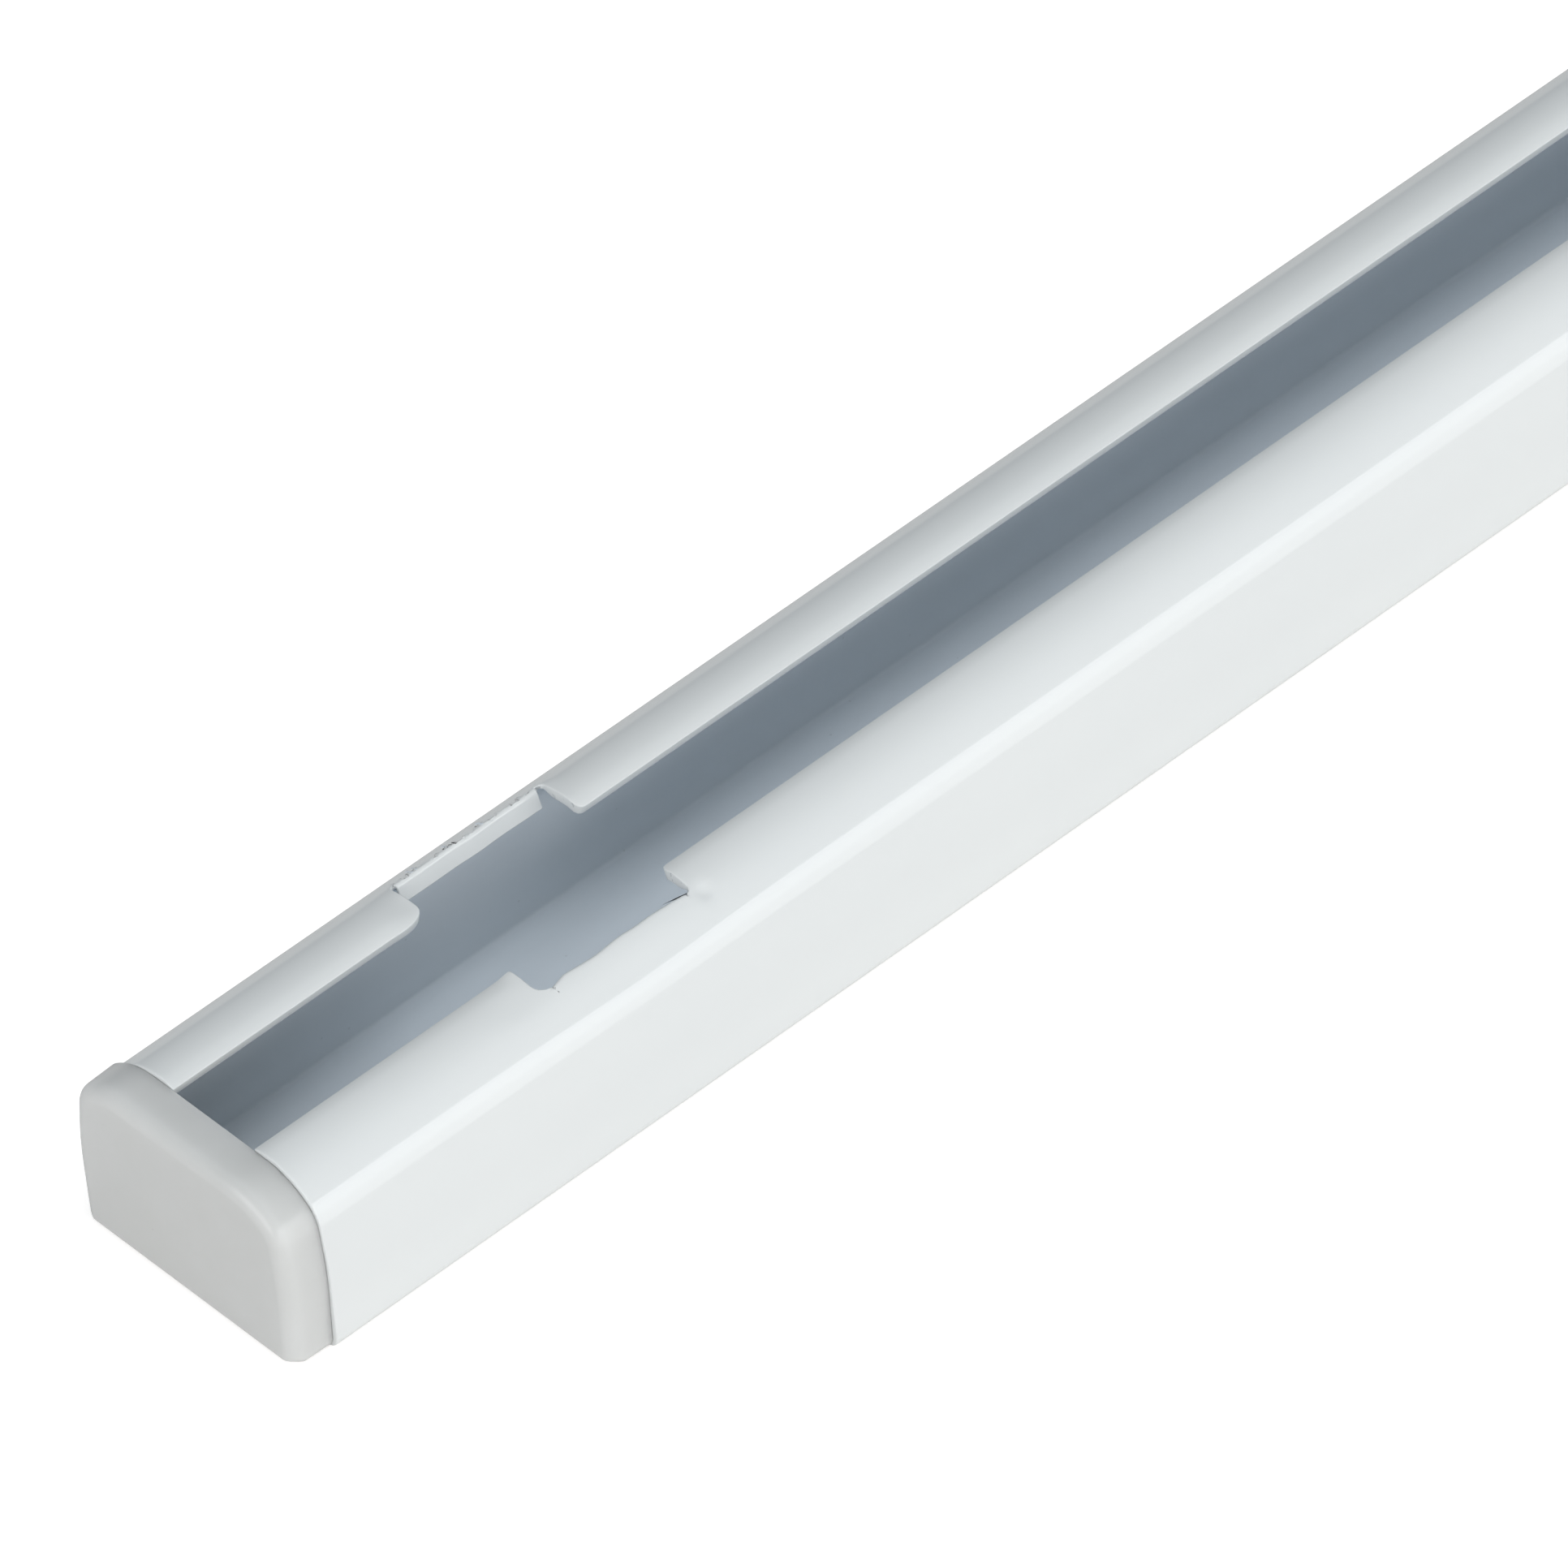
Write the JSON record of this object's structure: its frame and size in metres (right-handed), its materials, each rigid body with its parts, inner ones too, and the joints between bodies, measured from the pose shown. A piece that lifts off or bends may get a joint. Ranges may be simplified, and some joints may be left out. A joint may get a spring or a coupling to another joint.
{
  "type": "curtain track",
  "caption": "Single curtain track: a straight coated-steel C rail, slot up, with a punched runner-loading notch near one end and a push-in moulded cap at each end.",
  "frame": {"origin": "middle of the rail's flat underside, half way along the track", "axes": "+X along the track, away from the end with the loading notch; +Z out of the slot, away from the flat back; +Y completes the right-handed frame"},
  "size_m": [1.005, 0.016, 0.011],
  "materials": {
    "white_coated_steel": "smooth gloss white coil coating",
    "milky_plastic": "milky translucent moulded plastic, satin"
  },
  "bodies": {
    "rail": {"rail": "white_coated_steel"},
    "near_cap": {"end_cap_near": "milky_plastic"},
    "far_cap": {"end_cap_far": "milky_plastic"}
  },
  "joints": [
    {"name": "near_cap_slide", "type": "slide", "parent": "rail", "child": "near_cap", "axis": [-1, 0, 0], "range_m": [0, 0.009]},
    {"name": "far_cap_slide", "type": "slide", "parent": "rail", "child": "far_cap", "axis": [1, 0, 0], "range_m": [0, 0.009]}
  ]
}
